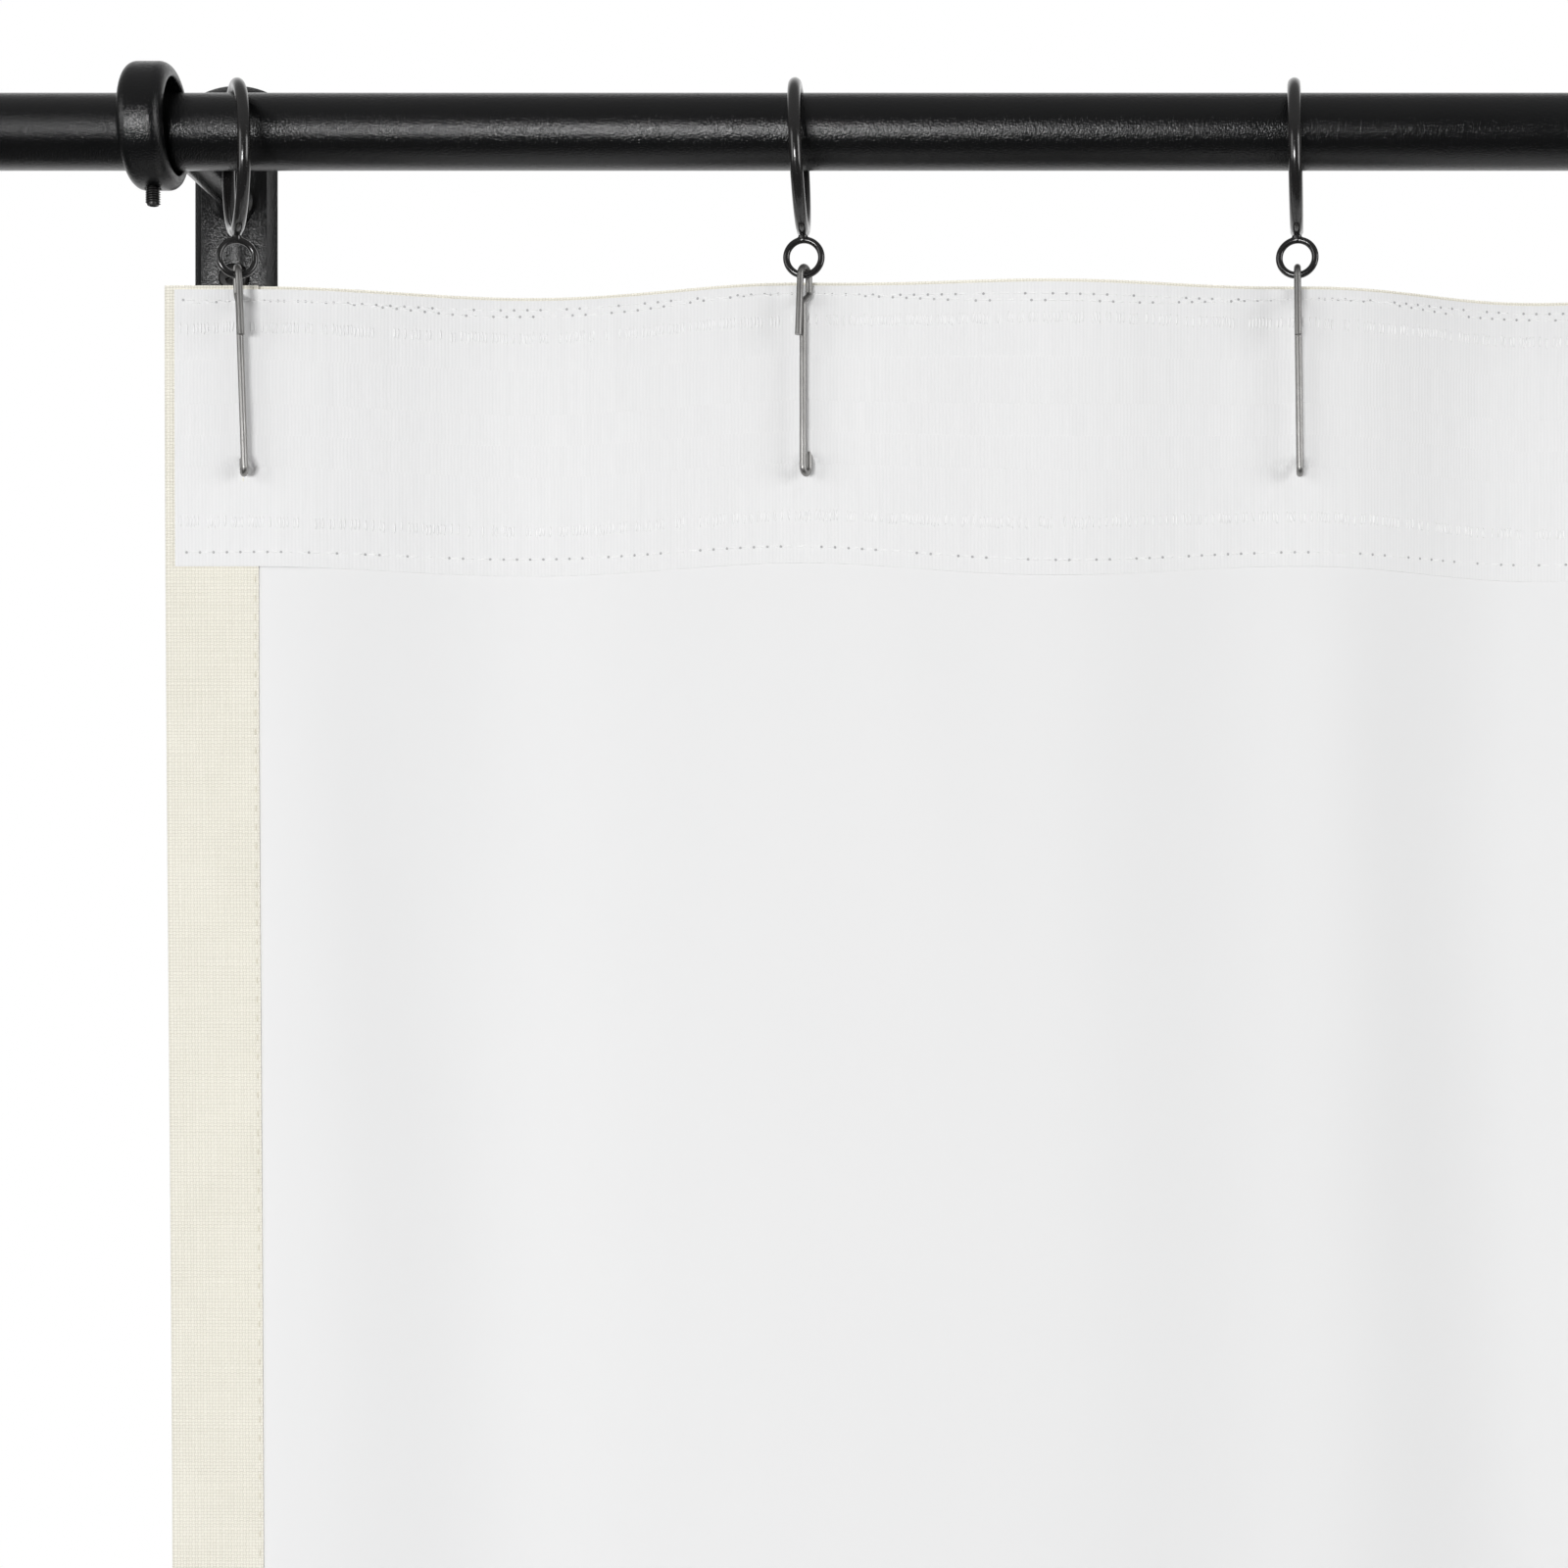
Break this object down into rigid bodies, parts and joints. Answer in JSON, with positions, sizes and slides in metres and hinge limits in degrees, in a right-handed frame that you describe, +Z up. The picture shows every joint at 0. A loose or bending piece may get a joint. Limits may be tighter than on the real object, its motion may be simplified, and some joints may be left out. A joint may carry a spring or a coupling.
{
  "type": "window curtain on a rod",
  "caption": "Lined curtain panel with a heading tape, hung by wire hooks from rings that slide on a round rod between two wall brackets.",
  "frame": {"origin": "centre of the left wall plate's back face, at the height of the arm's foot", "axes": "+X along the rod to the right, +Y into the wall, +Z up; the room is at -Y"},
  "size_m": [1.4882, 0.1676, 2.2361],
  "materials": {
    "satin_black_paint": "satin powder coat with a fine orange-peel",
    "gloss_black_paint": "semi-gloss enamel",
    "black_oxide_steel": "black oxide",
    "bright_nickel": "bright nickel plate on round wire",
    "cream_weave": "linen-look plain weave",
    "white_lining": "smooth close-woven lining",
    "white_tape": "ribbed woven heading tape"
  },
  "bodies": {
    "rod_and_brackets": {"rod": "satin_black_paint", "rod_end_cap_left": "satin_black_paint", "rod_end_cap_right": "satin_black_paint", "wall_plate_left": "satin_black_paint", "wall_plate_right": "satin_black_paint", "bracket_arm_left": "satin_black_paint", "bracket_arm_right": "satin_black_paint", "wall_screw_left_upper": "black_oxide_steel", "wall_screw_left_lower": "black_oxide_steel", "wall_screw_right_upper": "black_oxide_steel", "wall_screw_right_lower": "black_oxide_steel"},
    "set_screw_left": {"set_screw_left": "black_oxide_steel"},
    "set_screw_right": {"set_screw_right": "black_oxide_steel"},
    "ring_1": {"ring_1": "gloss_black_paint", "eyelet_1": "gloss_black_paint"},
    "ring_2": {"ring_2": "gloss_black_paint", "eyelet_2": "gloss_black_paint"},
    "ring_3": {"ring_3": "gloss_black_paint", "eyelet_3": "gloss_black_paint"},
    "ring_4": {"ring_4": "gloss_black_paint", "eyelet_4": "gloss_black_paint"},
    "ring_5": {"ring_5": "gloss_black_paint", "eyelet_5": "gloss_black_paint"},
    "ring_6": {"ring_6": "gloss_black_paint", "eyelet_6": "gloss_black_paint"},
    "ring_7": {"ring_7": "gloss_black_paint", "eyelet_7": "gloss_black_paint"},
    "ring_8": {"ring_8": "gloss_black_paint", "eyelet_8": "gloss_black_paint"},
    "curtain_on_hook_1": {"hook_1": "bright_nickel", "face_fabric": "cream_weave", "lining": "white_lining", "bottom_hem": "cream_weave", "heading_tape": "white_tape", "upper_pocket_row": "white_tape", "lower_pocket_row": "white_tape"},
    "hook_2": {"hook_2": "bright_nickel"},
    "hook_3": {"hook_3": "bright_nickel"},
    "hook_4": {"hook_4": "bright_nickel"},
    "hook_5": {"hook_5": "bright_nickel"},
    "hook_6": {"hook_6": "bright_nickel"},
    "hook_7": {"hook_7": "bright_nickel"},
    "hook_8": {"hook_8": "bright_nickel"}
  },
  "joints": [
    {"name": "ring_1_slide", "type": "slide", "parent": "rod_and_brackets", "child": "ring_1", "axis": [1, 0, 0], "range_m": [-0.006, 0.006]},
    {"name": "curtain_draw", "type": "slide", "parent": "ring_1", "child": "ring_8", "axis": [1, 0, 0], "range_m": [-0.8708, 0], "deforming": ["face_fabric", "lining", "bottom_hem", "heading_tape", "upper_pocket_row", "lower_pocket_row"]},
    {"name": "ring_2_slide", "type": "slide", "parent": "ring_1", "child": "ring_2", "axis": [1, 0, 0], "range_m": [-0.13329, 0.0005]},
    {"name": "ring_3_slide", "type": "slide", "parent": "ring_1", "child": "ring_3", "axis": [1, 0, 0], "range_m": [-0.2511, 0.0005]},
    {"name": "ring_4_slide", "type": "slide", "parent": "ring_1", "child": "ring_4", "axis": [1, 0, 0], "range_m": [-0.3813, 0.0005]},
    {"name": "ring_5_slide", "type": "slide", "parent": "ring_1", "child": "ring_5", "axis": [1, 0, 0], "range_m": [-0.5017, 0.0005]},
    {"name": "ring_6_slide", "type": "slide", "parent": "ring_1", "child": "ring_6", "axis": [1, 0, 0], "range_m": [-0.6291, 0.0005]},
    {"name": "ring_7_slide", "type": "slide", "parent": "ring_1", "child": "ring_7", "axis": [1, 0, 0], "range_m": [-0.7467, 0.0005]},
    {"name": "curtain_swing", "type": "hinge", "parent": "ring_1", "child": "curtain_on_hook_1", "pos_m": [0.02855, -0.1143, -0.05322], "axis": [1, 0, 0], "range_deg": [-20, 2]},
    {"name": "hook_2_swing", "type": "hinge", "parent": "ring_2", "child": "hook_2", "pos_m": [0.22029, -0.1143, -0.05316], "axis": [1, 0, 0], "range_deg": [-20, 2]},
    {"name": "hook_3_swing", "type": "hinge", "parent": "ring_3", "child": "hook_3", "pos_m": [0.38687, -0.1143, -0.05322], "axis": [1, 0, 0], "range_deg": [-20, 2]},
    {"name": "hook_4_swing", "type": "hinge", "parent": "ring_4", "child": "hook_4", "pos_m": [0.57094, -0.1143, -0.05322], "axis": [1, 0, 0], "range_deg": [-20, 2]},
    {"name": "hook_5_swing", "type": "hinge", "parent": "ring_5", "child": "hook_5", "pos_m": [0.7453, -0.1143, -0.05321], "axis": [1, 0, 0], "range_deg": [-20, 2]},
    {"name": "hook_6_swing", "type": "hinge", "parent": "ring_6", "child": "hook_6", "pos_m": [0.92634, -0.1143, -0.05322], "axis": [1, 0, 0], "range_deg": [-20, 2]},
    {"name": "hook_7_swing", "type": "hinge", "parent": "ring_7", "child": "hook_7", "pos_m": [1.09251, -0.1143, -0.05321], "axis": [1, 0, 0], "range_deg": [-20, 2]},
    {"name": "hook_8_swing", "type": "hinge", "parent": "ring_8", "child": "hook_8", "pos_m": [1.27276, -0.1143, -0.05322], "axis": [1, 0, 0], "range_deg": [-20, 2]},
    {"name": "set_screw_left_turn_out", "type": "slide", "parent": "rod_and_brackets", "child": "set_screw_left", "axis": [0, 0, -1], "range_m": [0, 0.006]},
    {"name": "set_screw_right_turn_out", "type": "slide", "parent": "rod_and_brackets", "child": "set_screw_right", "axis": [0, 0, -1], "range_m": [0, 0.006]}
  ],
  "couplings": [
    {"joint": "ring_2_slide", "follows": "curtain_draw", "ratio": 0.15249},
    {"joint": "ring_3_slide", "follows": "curtain_draw", "ratio": 0.28778},
    {"joint": "ring_4_slide", "follows": "curtain_draw", "ratio": 0.4373},
    {"joint": "ring_5_slide", "follows": "curtain_draw", "ratio": 0.57556},
    {"joint": "ring_6_slide", "follows": "curtain_draw", "ratio": 0.72186},
    {"joint": "ring_7_slide", "follows": "curtain_draw", "ratio": 0.85691},
    {"joint": "hook_2_swing", "follows": "curtain_swing", "ratio": 1},
    {"joint": "hook_3_swing", "follows": "curtain_swing", "ratio": 1},
    {"joint": "hook_4_swing", "follows": "curtain_swing", "ratio": 1},
    {"joint": "hook_5_swing", "follows": "curtain_swing", "ratio": 1},
    {"joint": "hook_6_swing", "follows": "curtain_swing", "ratio": 1},
    {"joint": "hook_7_swing", "follows": "curtain_swing", "ratio": 1},
    {"joint": "hook_8_swing", "follows": "curtain_swing", "ratio": 1}
  ]
}
